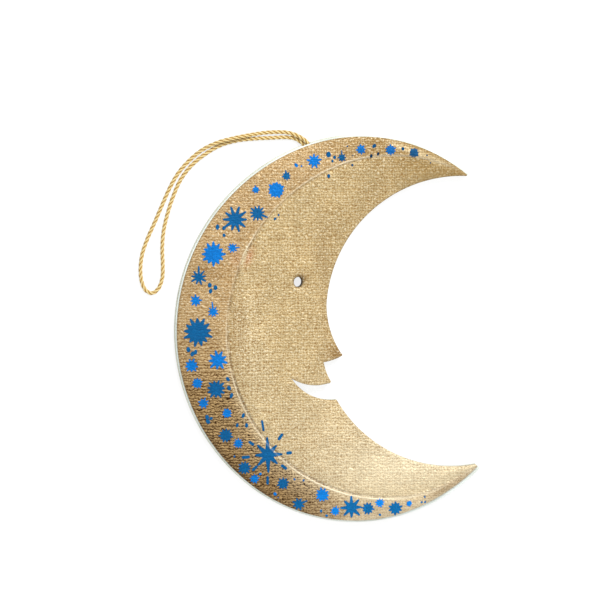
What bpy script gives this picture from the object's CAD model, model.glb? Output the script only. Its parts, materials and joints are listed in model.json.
"""Moon board ornament, laid out as an add-on for Blender.

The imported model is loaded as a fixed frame, and each operator makes one piece, or one group of
like pieces, around it: the gold linen cloth, the pressed card, the pale boards, the foil stars
and the twisted cord. Lengths are in metres. A place in plan is a complex number, x + yi.
"""

import functools
import json
import math

import bpy
import numpy as np
from bpy.props import FloatProperty, FloatVectorProperty, IntProperty, PointerProperty
from mathutils import Matrix, Vector
from mathutils.geometry import delaunay_2d_cdt
from mathutils.kdtree import KDTree


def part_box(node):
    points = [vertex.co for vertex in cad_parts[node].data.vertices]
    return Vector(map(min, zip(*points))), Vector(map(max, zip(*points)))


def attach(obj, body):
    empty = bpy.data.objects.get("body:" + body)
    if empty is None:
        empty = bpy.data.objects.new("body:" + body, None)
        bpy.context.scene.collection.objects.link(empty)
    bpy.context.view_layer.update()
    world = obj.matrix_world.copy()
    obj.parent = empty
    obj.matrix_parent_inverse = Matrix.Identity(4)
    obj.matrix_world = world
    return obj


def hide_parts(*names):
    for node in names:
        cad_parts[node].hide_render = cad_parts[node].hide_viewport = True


bl_info = {
    "name": "Moon Board Ornament",
    "version": (1, 0, 0),
    "blender": (4, 5, 0),
    "location": "View3D > Sidebar > Moon",
    "description": "Builds a gold linen crescent ornament with foil stars and a twisted cord loop",
    "category": "Add Mesh",
}

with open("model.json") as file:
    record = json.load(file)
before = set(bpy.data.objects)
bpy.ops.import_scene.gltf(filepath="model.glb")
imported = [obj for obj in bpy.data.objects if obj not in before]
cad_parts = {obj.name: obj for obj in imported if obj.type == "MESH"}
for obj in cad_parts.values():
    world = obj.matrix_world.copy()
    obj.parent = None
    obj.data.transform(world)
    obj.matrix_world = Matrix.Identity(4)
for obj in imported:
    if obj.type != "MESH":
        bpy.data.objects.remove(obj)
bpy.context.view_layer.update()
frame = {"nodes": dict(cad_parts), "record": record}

MM = 0.001
BODY = "root"

# Outline of the boards: one long arc that runs into a tighter arc at each horn
MOON_WIDTH = 127.9 * MM
BACK_RADIUS = 82 * MM
HORN_RADII = (70 * MM, 72.3 * MM)
HORN_STARTS = (110.5, 231)
UPPER_TIP_ANGLE = 49.8
TIP_WIDTHS = (1.1 * MM, 2.6 * MM)
TIP_REACH = 12 * MM
END_INSET_SHARE = 0.6

# Inner curve and the profile of the face, with each place given from the brow
BAY_RADIUS = 56.3 * MM
BROW = complex(63.2 * MM - MOON_WIDTH / 2, 10.1 * MM)
NOSE_TIP = BROW + (6.2 - 20.3j) * MM
NOSE_ROUND = (0.3 - 1j) * MM
NOSTRIL = BROW + (-1.2 - 23.9j) * MM
UPPER_LIP_TIP = BROW + (1.8 - 31.8j) * MM
LIP_ROUND = (-1.2 - 0.9j) * MM
MOUTH_CORNER = BROW + (-14.7 - 30.5j) * MM
LOWER_LIP_TIP = BROW + (4.2 - 39.5j) * MM
CORNER_SHARE = 0.6
EYE = BROW + (-11.9 + 9.5j) * MM
EYE_WIDTH = 3.6 * MM
EYE_HEIGHT = 4.2 * MM

# Arcs of the profile from the lower horn up: where each ends, its radius and whether it is clockwise
PROFILE = [
    (LOWER_LIP_TIP, BAY_RADIUS, True),
    (MOUTH_CORNER, 20 * MM, True),
    (UPPER_LIP_TIP + LIP_ROUND, 18.5 * MM, False),
    (UPPER_LIP_TIP, abs(LIP_ROUND) * CORNER_SHARE, False),
    (NOSTRIL, 22.7 * MM, True),
    (NOSE_TIP + NOSE_ROUND, 23.3 * MM, False),
    (NOSE_TIP, abs(NOSE_ROUND) * CORNER_SHARE, False),
    (BROW, 37 * MM, True),
]

# Relief of the card: band, crest, groove and crowned panel
BAND_WIDTH = 21.2 * MM
CREST_RADIUS = 73.7 * MM
CREST_HORN_RADIUS = 62.9 * MM
CREST_STARTS = (107.3, 221.2)
CREST_SHARES = (0.35, 0.65)
FULL_RELIEF_WIDTH = 12 * MM
NARROWEST_RELIEF = 1.6 * MM
GROOVE_SHARE = 0.15
SHOULDER_SHARE = 0.3
BAND_ROUNDNESS = 1.8
CROWN_DROP = 0.17 * MM
GROOVE_STEEPNESS = 1.5
FIRST_CLIMB_SHARE = 0.4
FIRST_CLIMB_STEEPNESS = 5
PANEL_OVERRUN = 1.2
RELIEF_SWEEP = (60, 300)
RELIEF_RAYS = 2401
RELIEF_EDGE_STEP = 0.25 * MM
EYE_DEPTH = 0.7 * MM
EYE_REACH = 2.2

# How far each layer stands back from the edge of the board behind it
FRONT_BOARD_INSET = 0.2 * MM
CLOTH_INSET = 0.75 * MM
LINING_INSET = 1.5 * MM
HORN_TRIM = 0.8 * MM
HORN_TRIM_SWEEP = (268, 30)

# Heights over the card's underside of the card's top, the cloth's crowns and underside, and the foil
CARD_TOP = 0.45 * MM
CLOTH_TOP = 0.85 * MM
CLOTH_UNDER = CLOTH_TOP - 0.32 * MM
FOIL_MIDDLE = CLOTH_TOP + 0.03 * MM
SPECK_MIDDLE = CLOTH_TOP - 0.02 * MM

# Flat layers: piece, CAD node, inset, tint, fineness of the fibre and slot
LAYERS = [
    ("lining_paper", "back_lining", LINING_INSET, "lining", 2500.0, "lining"),
    ("pale_back_board", "back_board", 0, "back", 1400.0, "board"),
    ("pale_front_board", "front_board", FRONT_BOARD_INSET, "front", 1400.0, "board"),
]

# Mesh: steps along outlines, pitch of inner places, and how far they keep from edges and the crest
OUTLINE_STEP = 0.8 * MM
HOLE_STEP = 0.3 * MM
CARD_PITCH = 1.3 * MM
CARD_MARGIN = 0.6 * MM
CLOTH_STEP = 0.4 * MM
CLOTH_HOLE_STEP = 0.25 * MM
CLOTH_HOLE_GROWTH = 0.12 * MM
CLOTH_MARGIN = 0.38 * MM
CLOTH_RIM = 0.16 * MM
CLOTH_RIM_DROP = 0.14 * MM
CLOTH_UNDER_PITCH = 1.6 * MM
CLOTH_UNDER_MARGIN = 0.8 * MM
CREST_STEP = 0.36 * MM
CREST_CLEARING = 0.95 * MM
CREST_CLEARING_MIDDLE = 0.22 * MM
CREST_ROWS = (-0.5, -0.2, 0.05, 0.3, 0.6, 0.95)
FOIL_STEP = 0.35 * MM
FOIL_MARGIN = 0.15 * MM
PER_THREAD = 3
SPARE_THREADS = 2
FOLD_SHARE = 0.93
BISECTIONS = 40
CDT_INSIDE = 1
CDT_EPSILON = 1e-7
SHARP_ANGLE = math.radians(50)

# Slot that holds the cord's two ends
SLOT_ANGLE = 109.1
SLOT_HEADING = -45
SLOT_LENGTH = 24 * MM
SLOT_ROOF = 0.4 * MM
CORD_DIAMETER = 1.75 * MM
CORD_CLEARANCE = 0.1 * MM
CORD_GAP = 0.3 * MM
CORD_STEP = 0.5 * MM
TAIL_INSET = 1 * MM
TAIL_LENGTH = 19 * MM

# Route of the free cord along its middle, measured on the photograph and then moved by hand
CORD_ROUTE = [
    (-13.0, 80.4, 2.3), (-16.8, 81.5, 1.6), (-20.4, 81.7, 1.05), (-25.6, 81.5, 1.2),
    (-32.4, 80.6, 2.15), (-39.4, 79.3, 2.75), (-46.1, 77.5, 2.25), (-52.2, 74.5, 1.2),
    (-57.4, 70.3, 0.9), (-62.2, 64.9, 0.9), (-65.8, 58.7, 0.9), (-68.8, 52.0, 0.9),
    (-72.2, 44.2, 0.9), (-75.3, 37.2, 0.9), (-77.3, 31.2, 0.9), (-78.0, 25.0, 0.9),
    (-77.4, 19.7, 0.9), (-75.7, 16.3, 0.9), (-73.2, 15.2, 0.9), (-70.6, 17.0, 0.9),
    (-68.9, 21.5, 0.9), (-68.7, 27.1, 0.9), (-68.9, 33.4, 0.9), (-68.4, 40.5, 0.9),
    (-66.9, 47.3, 0.9), (-64.6, 54.5, 0.9), (-61.3, 62.0, 0.9), (-56.7, 68.0, 0.9),
    (-51.1, 72.6, 0.9), (-44.9, 76.2, 0.9), (-37.9, 78.2, 0.9), (-30.7, 79.0, 0.9),
    (-23.5, 79.3, 0.9), (-17.6, 79.5, 0.9), (-13.6, 79.0, 0.95),
]

# Foil stars: angle on the outer curve, inset, reach, rays, notch root, first ray's length and heading
BURST = (229.65, 14.7, 5.5, 8, 0.46, 1.3, 92)
STARS = [
    (90.35, 6.05, 2.1, 8, 0.62, 1.1, 96), (79.3, 5.14, 2.25, 10, 0.66, 1.1, 92),
    (70.7, 3.86, 2.1, 9, 0.74, 1, 84), (97.85, 8.78, 1.85, 8, 0.55, 1.6, 92),
    (108.6, 7.43, 3.05, 9, 0.52, 1, 92), (119.05, 8.4, 1.85, 8, 0.62, 1.3, 98),
    (124.35, 10.98, 3.4, 12, 0.74, 1, 84), (129.55, 5.86, 1.6, 7, 0.62, 1.2, 96),
    (134.35, 13.49, 3.3, 11, 0.52, 1.35, -22), (140.9, 8.37, 5.3, 10, 0.44, 1.1, 72),
    (154.1, 8.41, 4.9, 12, 0.62, 1.1, 90), (149.25, 14.16, 2.1, 9, 0.5, 1.35, 4),
    (162.65, 6.27, 3.3, 9, 0.42, 1.35, 90), (170.05, 7.32, 2.45, 8, 0.52, 1.1, 94),
    (172.9, 15.11, 2.3, 9, 0.5, 1.75, 96), (180.15, 9.28, 6.1, 13, 0.6, 1, 92),
    (190.45, 16.5, 4.1, 9, 0.5, 1, 64), (190.6, 5.4, 2.8, 9, 0.6, 1.15, 70),
    (200.1, 12.66, 3.9, 11, 0.6, 1, 72), (196.35, 6.01, 2.25, 10, 0.66, 1, 90),
    (202.9, 5.62, 2.25, 8, 0.55, 1.2, 72), (209.2, 12.59, 2.1, 9, 0.66, 1, 80),
    (215.2, 7.24, 2.95, 11, 0.64, 1, 86), (219.75, 9.33, 2.1, 10, 0.58, 1.1, 90),
    (226.8, 4.26, 2.75, 11, 0.62, 1, 84), (231.4, 3.54, 2, 9, 0.6, 1, 94),
    (240.85, 8.46, 2.55, 10, 0.64, 1, 90), (249.25, 3.41, 2.8, 8, 0.5, 1.3, 22),
    (256.45, 9.92, 2.9, 10, 0.62, 1.15, 104), (262.25, 4.23, 1.95, 9, 0.6, 1.2, 78),
    (267.9, 6.24, 4.6, 8, 0.44, 1.1, 92), (273.85, 5.67, 2.65, 10, 0.62, 1, 100),
    (278.35, 7.49, 2, 9, 0.58, 1, 92), (283.55, 3.89, 3, 10, 0.62, 1, 90),
    (288.65, 4.13, 1.3, 5, 0.75, 1, 70),
]
RAY_VARIATION = 0.08
RAY_TIP = 0.75 * MM
BLUNT_REACH = 4
RAY_RHYTHM = 2.4
RAY_CUT = 0.08
LONG_RAY = 1.25
ROOT_FILL = 0.06
ROOT_RHYTHM = 3.7

# Foil dashes: the way each one lies from the burst, how far out, how long and how wide
DASHES = [
    (99.8, 12.3, 4.7, 0.9), (54.6, 9.16, 3.3, 1.2), (4.8, 8.94, 2.45, 1.3), (-37.2, 8.45, 3, 1.2),
    (-90, 10.66, 3.6, 1), (-134, 7.75, 2.9, 1.2), (-174.3, 9.2, 3.4, 1.25), (144.7, 8.46, 2.8, 1.15),
]

# Foil specks: angle on the outer curve, inset, length, width, heading and blue, from -1 deep to 1 bright
SPECKS = [
    (66, 2.8, 0.72, 0.59, 0, 0), (63.7, 5, 0.52, 0.52, 0, 0), (75, 3.6, 1.55, 1.3, 108, 0),
    (83.8, 7.55, 1.55, 1.05, 71, -1), (85.5, 4.45, 2.05, 1.5, 55, 0), (86.4, 8.6, 1.6, 1.1, 80, -1),
    (93.6, 8.4, 0.52, 0.45, 0, 0), (94, 12.35, 1.17, 0.78, 115, 0), (95.3, 4.4, 0.78, 0.65, 0, 0),
    (100.7, 8.2, 1.55, 1.3, 93, 0), (101.8, 9.5, 1.23, 0.98, 109, 0), (102.7, 6.6, 2.55, 2, 96, 0),
    (104.7, 15.2, 1.65, 1.3, 90, 0), (113.3, 7.5, 0.91, 0.78, 90, 0.6), (114.7, 6.3, 1.95, 1.35, 127, 1),
    (129, 19.95, 0.98, 0.78, 84, 0), (131, 20.2, 1.35, 0.95, 48, 0), (145.2, 6.8, 1.8, 1.5, 69, 0),
    (146.1, 4.4, 2.35, 1.55, 94, 0), (147.1, 8.45, 1.55, 1.3, 102, 0), (164.1, 11.55, 2, 1.65, 95, 0),
    (164.4, 14.1, 2.1, 1.6, 93, 0), (166, 12.5, 2.05, 1.5, 80, 0), (185.5, 5.05, 2.2, 1.7, 100, 0),
    (186.5, 7.9, 2.05, 1.5, 80, 0), (187, 6.5, 2.15, 1.7, 70, 0), (198.1, 18.6, 2.05, 1.4, 125, 0),
    (201.4, 17.8, 2.15, 1.55, 120, 0), (204.3, 17.5, 2.3, 1.4, 71, 0), (207.3, 4.6, 1.95, 1.7, 95, 0),
    (208.2, 5.75, 1.55, 1.3, 30, 0), (208.6, 4.1, 2.15, 1.7, 130, 0), (212.9, 17.85, 2.1, 1.3, 72, 0),
    (214.6, 13.55, 1.75, 1.2, 78, 0), (216.6, 16.65, 1.95, 1.35, 94, 0), (222.1, 4.6, 0.98, 0.78, 84, 0.4),
    (231.9, 6.6, 1.35, 1.1, 29, 1), (240.3, 3.1, 1.55, 1.4, 137, 1), (241.8, 2.4, 0.59, 0.52, 104, 0.4),
    (244, 12.2, 1.04, 0.85, 136, 0.6), (247.5, 13.3, 0.98, 0.85, 60, 0.5), (257.4, 3.3, 1.35, 1, 88, 0),
    (259.6, 1.8, 1.23, 1.04, 164, 0.2), (277.9, 2.5, 1.17, 0.98, 141, 0), (292.9, 2.7, 0.98, 0.78, 175, 0),
    (294, 2.2, 0.98, 0.85, 58, 0), (294.6, 4.25, 0.91, 0.78, 135, 0),
]

# Waves that pull the threads off straight, with sizes of the slow and of the quick ones in millimetres
WAVES = 8
SLOW_WAVES = 2
WAVE_LENGTHS = (27, 2.1)
WAVE_SPANS = (60, 0.7)
WAVE_PULLS = (0.3, 0.05)
WAVE_VARIATION = (0.8, 1.3)
WEAVE_REACH = 120 * MM
DRIFT_ROUNDS = 12

# Weave, in threads: wander of the crossings, noise along a thread, rise of one over another, thickness
WANDER = 1.7
WANDER_SCALE = 0.7
NOISE_STRIDE = 3.7
NOISE_PACES = (0.13, 0.45)
OVER_RISE = 0.4
ROWS_FLATTEN = 0.6
LUMP_RISE = (0.8, 0.5)
THICKNESS = 0.6
WARP_THINNER = 0.05
ROWS_THINNER = 0.16
LEVEL_FIBRE = (1.5, 2.0, 0.0)
UPRIGHT_FIBRE = (2.1, 1.5, 3.0)

# How far the weave is raised at the cloth's rim, in the ring inside it, on the crest and on foil
RIM_RAISED = 0.4
RING_RAISED = 0.7
CREST_FLATTEN = 0.6
FOIL_RAISED = 0.55

# Tinted patches on the cloth: tint, place and half sizes in millimetres, turn and strength
PATCHES = [
    ("cream", 38, -56, 48, 18, 12, 0.68), ("cream", 0, -40, 30, 22, 0, 0.2),
    ("olive", 50, 70, 36, 14, -20, 0.92), ("olive", 16, 52, 10, 30, -48, 0.3),
    ("olive", 22, 77, 26, 6, -4, 0.7), ("bronze", -26, -64.5, 20, 5, -38, 0.6),
    ("umber", -8, -72, 14, 6, -14, 0.4),
    ("worn", -32, -14, 7, 30, 6, 0.3), ("umber", 64, -62, 5, 4, 0, 0.2),
    ("umber", 5, -9.8, 5.5, 4.5, 0, 0.9), ("soot", -11.2, 21.4, 1.5, 1.2, -45, 0.8),
    ("worn", -12.5, 16.7, 1.8, 0.6, 0, 0.8), ("umber", -1, 15, 3.5, 24, 4, 0.25),
    ("umber", -48, 23.5, 6, 3.5, 10, 0.5), ("umber", -52, -27, 7, 5, 0, 0.35),
    ("umber", -38.5, 2, 4, 18, 5, 0.35), ("umber", -10, 22, 2.5, 2.5, 0, 0.4),
    ("copper", -33.3, 30.2, 1.5, 3.6, -20, 0.75), ("copper", -38.8, 30, 2.4, 3.6, 0, 0.35),
]

# Wear of the crest by angle: its ridge, the dark line inside, the strip outside, and the ridge's shift
CREST_WEAR = [
    (60, 90, 98, 106, 114, 124, 138, 144, 150, 160, 172, 178, 186, 193, 200, 212, 220, 226, 234, 242,
     250, 258, 266, 274, 281, 289, 297),
    (0.8, 0.8, 1, 0.9, 0.6, 0.45, 0.35, 1, 0.5, 0.2, 0.25, 0.5, 0.65, 0.25, 0.85, 0.75, 0.7, 1.1,
     0.75, 1.15, 1.25, 1.45, 1.15, 1.5, 1.2, 0.7, 0.3),
    (0, 0, 0.1, 0.1, 0.1, 0, 0.1, 0.7, 0.8, 0.5, 0.4, 0.4, 0.9, 0.6, 0.9, 1, 0.9, 0.8, 1, 1, 0.9,
     1, 0.85, 0.8, 1, 0.7, 0.4),
    (0, 0, 0, 0, 0, 0, 0, 0, 0, 0, 0, 0.05, 0.2, 0.25, 0.3, 0.3, 0.4, 0.55, 0.45, 0.3, 0.35, 0.35,
     0.4, 0.45, 0.35, 0.2, 0),
    (-0.3, -0.2, 0.2, 0.2, 0.2, 0.2, 0.2, 0.15, 0.1, 0.1, 0.1, 0.1, 0.1, 0.1, 0.1, 0.1, 0.1, 0.1,
     0.2, 0.25, 0.1, 0.15, 0.15, 0.1, 0.55, 0.8, 0.8),
]

# Thin dark and pale lines on the cloth: tint, both ends, half width and strength
STREAKS = [
    ("umber", 40, -72, 61, -59.8, 1.0, 0.45), ("worn", 22, 78.5, 55, 66, 1.2, 0.5),
    ("worn", -38.4, -8, -38.2, 10, 0.35, 0.35), ("worn", -33.6, 35.5, -37.0, 25.5, 0.6, 1),
]

# Creases pressed in the cloth: both ends, half width and depth in millimetres, a ridge if negative
CREASES = [
    (-19.4, 57.9, -11.5, 58.1, 0.3, 0.14), (-29.8, 65.2, -26.5, 62.3, 0.3, 0.12),
    (-32.6, 40.4, -26.3, 36.7, 0.5, -0.14), (-32.4, 38.8, -34.2, 33.2, 0.5, -0.12),
    (-17.6, -46.3, -7.4, -44.2, 0.4, 0.1), (-28.6, -36.6, -24.4, -42.6, 0.4, 0.08),
    (-12, -50.6, 3, -47.5, 0.5, -0.07), (24, -52.7, 43, -60.4, 0.5, 0.06),
    (-30, 54, -22, 52, 0.4, -0.06), (-46.5, 50.5, -38, 54.5, 0.4, 0.08),
]

# Marks by the crest: its pale ridge, the dark line inside it and the worn strip of the band outside it
RIDGE_HALF_WIDTH = 0.27 * MM
LINE_PLACE = 0.85 * MM
LINE_HALF_WIDTH = 0.38 * MM
STRIP_PLACE = -1 * MM
STRIP_HALF_WIDTH = 1.6 * MM

# Stains of the band: start and sweep of each in degrees along the outer curve, width and strength
PATINA_IN = (168, 40)
PATINA_OUT = (246, 22)
PATINA_STRENGTH = 0.56
PATINA_FADE = 0.35
PATINA_RUBBED = 0.4
RIM_STAIN = (229, 20)
RIM_WIDTH = 2 * MM
RIM_STRENGTH = 0.95
FOOT_SHEEN = (252, 20)
FOOT_WIDTH = 4.5 * MM
FOOT_STRENGTH = 0.6
STREAK_GAIN = 1.6

# How much the level threads stand out everywhere, more on the left of the band and more in the patina
ROWS = 0.35
ROWS_LEFT = 0.5
ROWS_PATINA = 0.6

# How much the weave is calmed on the upper horn and roughened inside the crest
CALM_UPPER = 0.8
ROUGH = 0.6
ROUGH_PATCH = (-33, -2, 8, 26, 4)

# How much the foil's tone drifts
FOIL_DRIFT = 0.4

# Shares of red, green and blue left in the deepest specks and in mottled paper
DEEPER_BLUE = (0.5, 0.4, 0.4)
DARKER_PAPER = (0.8, 0.79, 0.74)

# Fixed tints: foil worn on the crest and sunk in the gaps, scorched paper and set glue
WORN_FOIL = (0.6, 0.55, 0.42, 1)
SUNK_FOIL = (0.005, 0.05, 0.16, 1)
SCORCH = (0.11, 0.065, 0.025, 1)
GLUE_TINT = (0.72, 0.62, 0.35, 1)
SCORCH_WIDTHS = (2.6 * MM, 2.2 * MM)
SCORCH_STRENGTH = 0.8

# Fineness of the patterns: blotches of the gilding, yarns in a strand and their turns in a metre
BLOTCH_SCALE = 90.0
YARNS = 9.0
YARN_TURNS = 1800.0
YARN_FIBRE = 6.0
CARD_FIBRE = 1400.0
GLUE_FIBRE = 700.0

# Camera and floor
AIM_HEIGHT = 4 * MM
SENSOR_WIDTH = 36
CLIP_END = 20
FLOOR_HALF = 3.0
FLOOR_HEIGHT = -0.05 * MM
FLOOR_GREY = 0.27
FLOOR_GLOW = 0.815

# Lamps: name, setting of its power, size and place from the middle of the ornament
LAMPS = [
    ("key", "key_power", 0.9, (0.55, 1.35, 1.5)),
    ("sheen", "sheen_power", 0.35, (0.5, -0.3, 0.8)),
    ("side", "side_power", 0.9, (-0.75, -1.15, 0.4)),
]


def length(name, description, millimetres):
    """A size that a user may change."""
    return FloatProperty(
        name=name, description=description, default=millimetres * MM,
        subtype="DISTANCE", unit="LENGTH", precision=5)


def angle(name, description, degrees):
    """A turn that a user may change."""
    return FloatProperty(
        name=name, description=description, default=math.radians(degrees),
        subtype="ANGLE", unit="ROTATION")


def share(name, description, value):
    """A share from nothing to all."""
    return FloatProperty(
        name=name, description=description, default=value, min=0, max=1, subtype="FACTOR")


def colour(name, description, red, green, blue):
    """A colour given as it shows, each part from 0 to 255, and kept as linear light."""
    linear = [((part / 255 + 0.055) / 1.055) ** 2.4 for part in (red, green, blue)]
    return FloatVectorProperty(
        name=name, description=description, default=(*linear, 1.0),
        size=4, min=0, max=1, subtype="COLOR")


class MoonStage(bpy.types.PropertyGroup):
    """Camera, floor and lights."""

    camera_side: angle("Camera to the Left", "Turn of the camera to the left of the front", 7.5)
    camera_up: angle("Camera Up", "Turn of the camera towards the upper horn", 3)
    camera_distance: length("Camera Distance", "From the camera to the ornament", 4000)
    view_width: length("View Width", "Width of what the camera sees", 248.8)
    aim_x: length("Aim X", "Where the camera aims, across", -11.8)
    aim_y: length("Aim Y", "Where the camera aims, up", 12.1)
    key_power: FloatProperty(
        name="Key Light", description="Power of the large lamp beyond the upper horn",
        default=37.0, unit="POWER")
    sheen_power: FloatProperty(
        name="Sheen Light", description="Power of the lamp that the gilding reflects",
        default=1.0, unit="POWER")
    side_power: FloatProperty(
        name="Side Light", description="Power of the soft lamp low on the left",
        default=6.0, unit="POWER")
    fill: share("Fill", "Strength of the even light from all round", 0.5)


class MoonCloth(bpy.types.PropertyGroup):
    """Linen cloth and its relief."""

    thread_pitch: length("Thread Pitch", "Middle distance from thread to thread", 1.18)
    thread_rise: length("Thread Rise", "Height of a thread's crown over the gaps", 0.24)
    unevenness: share("Unevenness", "How much the threads differ in width", 0.17)
    crest_rise: length("Crest Rise", "Height of the long crest over the edge", 1.8)
    groove_width: length("Groove Width", "From the crest to the bottom of its groove", 0.9)
    groove_drop: length("Groove Drop", "Depth of the groove inside the crest", 0.45)
    shoulder: length("Shoulder", "From the groove up to the panel", 3)
    panel_fall: length("Panel Fall", "Fall of the panel from its shoulder to the inner curve", 1.1)
    edge_roll: length("Edge Roll", "How wide the cloth's edge is rolled down", 1.0)
    edge_drop: length("Edge Drop", "How far the rolled edge comes down", 0.2)
    eye_dish: length("Eye Dish", "How wide the cloth is pressed in round the eye", 0.65)
    seed: IntProperty(name="Seed", description="Seed of the thread widths and tones", default=7)
    band: colour("Band", "Gold of the outer band", 196, 166, 118)
    panel: colour("Panel", "Gold of the face panel", 202, 178, 129)
    gap: colour("Gap", "Brown in the gaps of the weave", 136, 90, 34)
    crown: colour("Crown", "Pale gold on the threads' crowns", 250, 239, 212)
    worn: colour("Worn", "Pale gold where the cloth is rubbed", 230, 212, 170)
    cream: colour("Cream", "Cream sheen on the lower horn", 240, 228, 198)
    olive: colour("Olive", "Olive gold on the upper horn", 158, 130, 78)
    bronze: colour("Bronze", "Bronze patina at the lower left of the band", 124, 84, 14)
    tan: colour("Tan", "Tan on the threads' crowns within the bronze patina", 224, 192, 138)
    soot: colour("Soot", "Dark brown in the gaps of the bronze patina", 54, 30, 4)
    umber: colour("Umber", "Brown where the gilding is thin", 146, 112, 62)
    copper: colour("Copper", "Copper blush beside the crest", 200, 140, 100)


class MoonFoil(bpy.types.PropertyGroup):
    """Pressed foil motifs."""

    thickness: length("Foil Thickness", "Thickness of the pressed foil", 0.06)
    bright: colour("Bright Foil", "Blue of the bright stars", 0, 121, 208)
    dark: colour("Dark Foil", "Blue of the deep stars", 0, 96, 152)


class MoonBoard(bpy.types.PropertyGroup):
    """Boards, card and lining."""

    edge_round: length("Edge Round", "How far a cut edge is crushed round", 0.06)
    front: colour("Front Board", "Mint white of the front board", 246, 254, 249)
    back: colour("Back Board", "Yellow white of the back board", 248, 250, 230)
    card: colour("Card", "Brown of the card's cut edge", 152, 122, 67)
    lining: colour("Lining", "Cream of the lining paper", 232, 226, 208)


class MoonCord(bpy.types.PropertyGroup):
    """Twisted cord."""

    strands: IntProperty(name="Strands", description="Strands laid in the cord", default=3)
    lay: length("Lay", "Length of cord in which a strand turns once", 6.8)
    strand_radius: length("Strand Radius", "Radius of one strand", 0.44)
    pale: colour("Pale Yarn", "Cream on top of the strands", 232, 208, 142)
    deep: colour("Deep Yarn", "Ochre between the strands", 176, 124, 22)


def heading(degrees):
    """Unit step in a direction of the plan."""
    return np.exp(1j * np.radians(degrees))


def way_round(places, middle):
    """Direction of places from a middle, in degrees from 0 to 360."""
    return np.degrees(np.angle(places - middle)) % 360


def ease(values):
    """Smooth step from 0 to 1."""
    clipped = np.clip(values, 0, 1)
    return clipped * clipped * (3 - 2 * clipped)


def grow(values, start, width):
    """Smooth step that begins at a start and takes a width."""
    return ease((values - start) / width)


def blend(values, start, width):
    """Smooth step with its start and width in millimetres."""
    return grow(values, start * MM, width * MM)


def hump(values, middle, half_width):
    """Share that is 1 at a middle and fades on both sides."""
    return np.exp(-((values - middle) / half_width) ** 2)


def patch(places, x, y, half_long, half_wide, turn):
    """Share that is 1 in the middle of a turned oval, given in millimetres, and fades outwards."""
    local = (places / MM - complex(x, y)) / heading(turn)
    return np.exp(-(local.real / half_long) ** 2 - (local.imag / half_wide) ** 2)


class ThreeArcs:
    """A curve of three arcs that share their tangents where they meet."""

    def __init__(self, centre, radius, starts, horn_radii):
        self.starts = np.array(starts, float)
        self.radii = np.array([horn_radii[0], radius, horn_radii[1]])
        self.centres = np.array([
            centre + heading(starts[0]) * (radius - horn_radii[0]),
            centre,
            centre + heading(starts[1]) * (radius - horn_radii[1]),
        ])

    def point_at(self, degrees, inset=0.0):
        """Place at an angle about its own arc's centre, moved inwards by an inset."""
        arc = np.searchsorted(self.starts, degrees, side="right")
        return self.centres[arc] + heading(degrees) * (self.radii[arc] - inset)

    def depth_of(self, places):
        """How far places lie inside the curve."""
        arc = np.searchsorted(self.starts, way_round(places, self.centres[1]), side="right")
        return self.radii[arc] - abs(places - self.centres[arc])

    def trace(self, start, end, inset, step):
        """Places along the curve from one angle to another."""
        stops = [start, *self.starts, end]
        places = []
        for arc in range(3):
            count = math.ceil(math.radians(stops[arc + 1] - stops[arc]) * self.radii[arc] / step)
            ways = np.linspace(stops[arc], stops[arc + 1], count, endpoint=False)
            places.extend(self.centres[arc] + heading(ways) * (self.radii[arc] - inset))
        return [*places, self.point_at(end, inset)]


def crossing(origins, directions, depth, reach):
    """First distance along lines at which a depth changes sign."""
    sign = np.sign(depth(origins))
    near = np.zeros(np.shape(origins))
    far = near + reach
    for _ in range(BISECTIONS):
        middle = (near + far) / 2
        same = np.sign(depth(origins + directions * middle)) == sign
        near = np.where(same, middle, near)
        far = np.where(same, far, middle)
    return (near + far) / 2


def arc_centre(start, end, radius, clockwise):
    """Centre of the arc between two places that is shorter than half a turn."""
    half = (end - start) / 2
    rise = math.sqrt(max(radius ** 2 - abs(half) ** 2, 0))
    return start + half + (-1j if clockwise else 1j) * half / abs(half) * rise


def arc_to(path, end, radius, clockwise, step):
    """Continues a path along an arc."""
    centre = arc_centre(path[-1], end, radius, clockwise)
    spoke = path[-1] - centre
    turn = np.angle((end - centre) / spoke)
    count = max(math.ceil(abs(turn) * radius / step), 2)
    path.extend(centre + spoke * np.exp(1j * turn * np.arange(1, count + 1) / count))


def line_to(path, end, step):
    """Continues a path along a straight line."""
    count = max(round(abs(end - path[-1]) / step), 1)
    path.extend(path[-1] + (end - path[-1]) * np.arange(1, count + 1) / count)


# Places that follow from the sizes above
HORN_TOP = (BACK_RADIUS - HORN_RADII[0]) * heading(HORN_STARTS[0]).imag + HORN_RADII[0]
HORN_BOTTOM = (BACK_RADIUS - HORN_RADII[1]) * heading(HORN_STARTS[1]).imag - HORN_RADII[1]
BACK_CENTRE = complex(BACK_RADIUS - MOON_WIDTH / 2, -(HORN_TOP + HORN_BOTTOM) / 2)
BACK = ThreeArcs(BACK_CENTRE, BACK_RADIUS, HORN_STARTS, HORN_RADII)
LOWER_TIP_COSINE = (MOON_WIDTH / 2 - BACK.centres[2].real) / HORN_RADII[1]
LOWER_TIP_ANGLE = 360 - math.degrees(math.acos(LOWER_TIP_COSINE))
CREST_CENTRE = complex(BAND_WIDTH + CREST_RADIUS - MOON_WIDTH / 2, BACK_CENTRE.imag)
CREST = ThreeArcs(CREST_CENTRE, CREST_RADIUS, CREST_STARTS, (CREST_HORN_RADIUS, CREST_HORN_RADIUS))
UPPER_TIP = BACK.point_at(UPPER_TIP_ANGLE, TIP_WIDTHS[0])
LOWER_TIP = BACK.point_at(LOWER_TIP_ANGLE, TIP_WIDTHS[1])
UPPER_BAY = arc_centre(BROW, UPPER_TIP, BAY_RADIUS, True)
LOWER_BAY = arc_centre(LOWER_TIP, LOWER_LIP_TIP, BAY_RADIUS, True)
HUB = (UPPER_BAY + LOWER_BAY) / 2


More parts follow.
